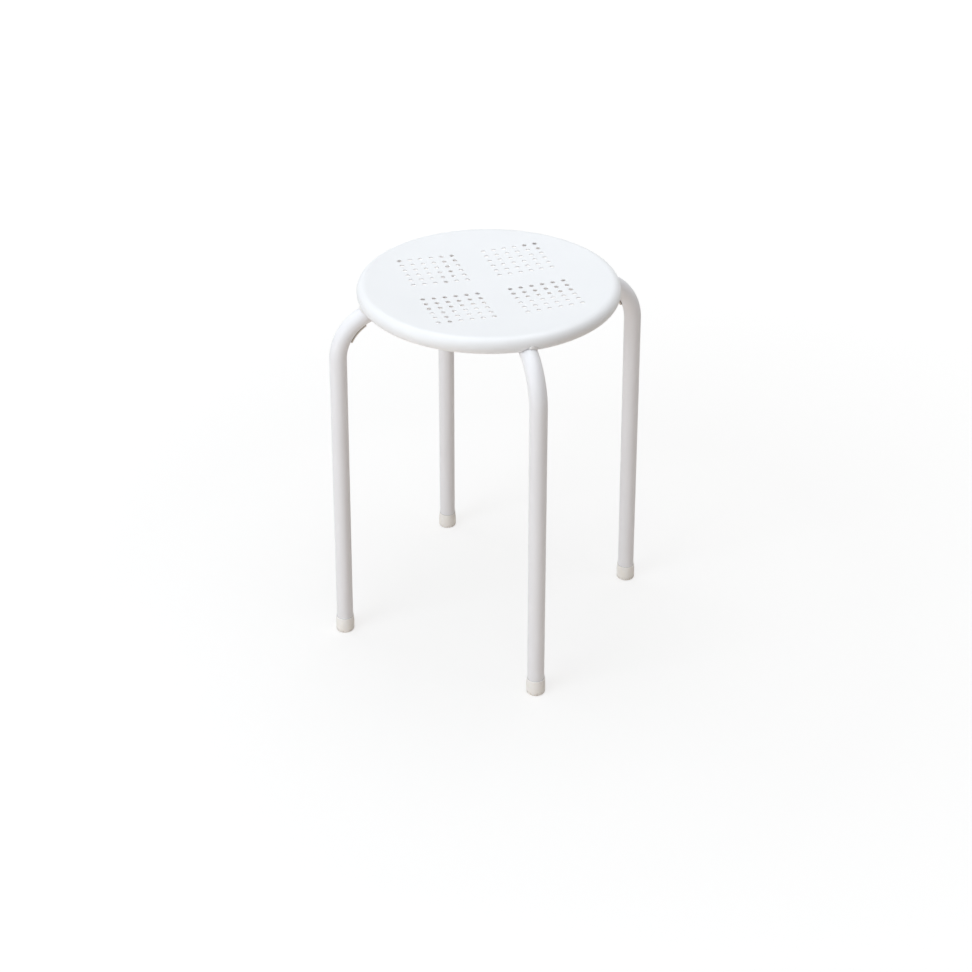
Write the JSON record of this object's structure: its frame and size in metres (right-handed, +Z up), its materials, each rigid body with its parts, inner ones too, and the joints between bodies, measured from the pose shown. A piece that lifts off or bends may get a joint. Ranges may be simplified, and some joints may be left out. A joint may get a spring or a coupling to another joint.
{
  "type": "stacking stool",
  "caption": "Round stacking stool of powder-coated steel: dished perforated seat on crossed tubular leg frames with plastic feet.",
  "frame": {"origin": "on the floor under the middle of the seat", "axes": "+Z up; the continuous leg frame lies along X and the two half frames lie along Y, the front leg towards -Y"},
  "size_m": [0.3966, 0.3966, 0.45],
  "materials": {
    "seat_coating": "white satin powder coating",
    "frame_coating": "white satin powder coating",
    "weld_coating": "white powder coating over rough weld",
    "foot_plastic": "cream moulded polyethylene",
    "pad_plastic": "off-white moulded strip"
  },
  "bodies": {
    "root": {"seat_pan": "seat_coating", "left_right_frame": "frame_coating", "front_half_frame": "frame_coating", "back_half_frame": "frame_coating", "rim_welds": "weld_coating", "hub_welds": "weld_coating", "right_foot": "foot_plastic", "back_foot": "foot_plastic", "left_foot": "foot_plastic", "front_foot": "foot_plastic", "right_pad": "pad_plastic", "back_pad": "pad_plastic", "left_pad": "pad_plastic", "front_pad": "pad_plastic"}
  },
  "joints": []
}
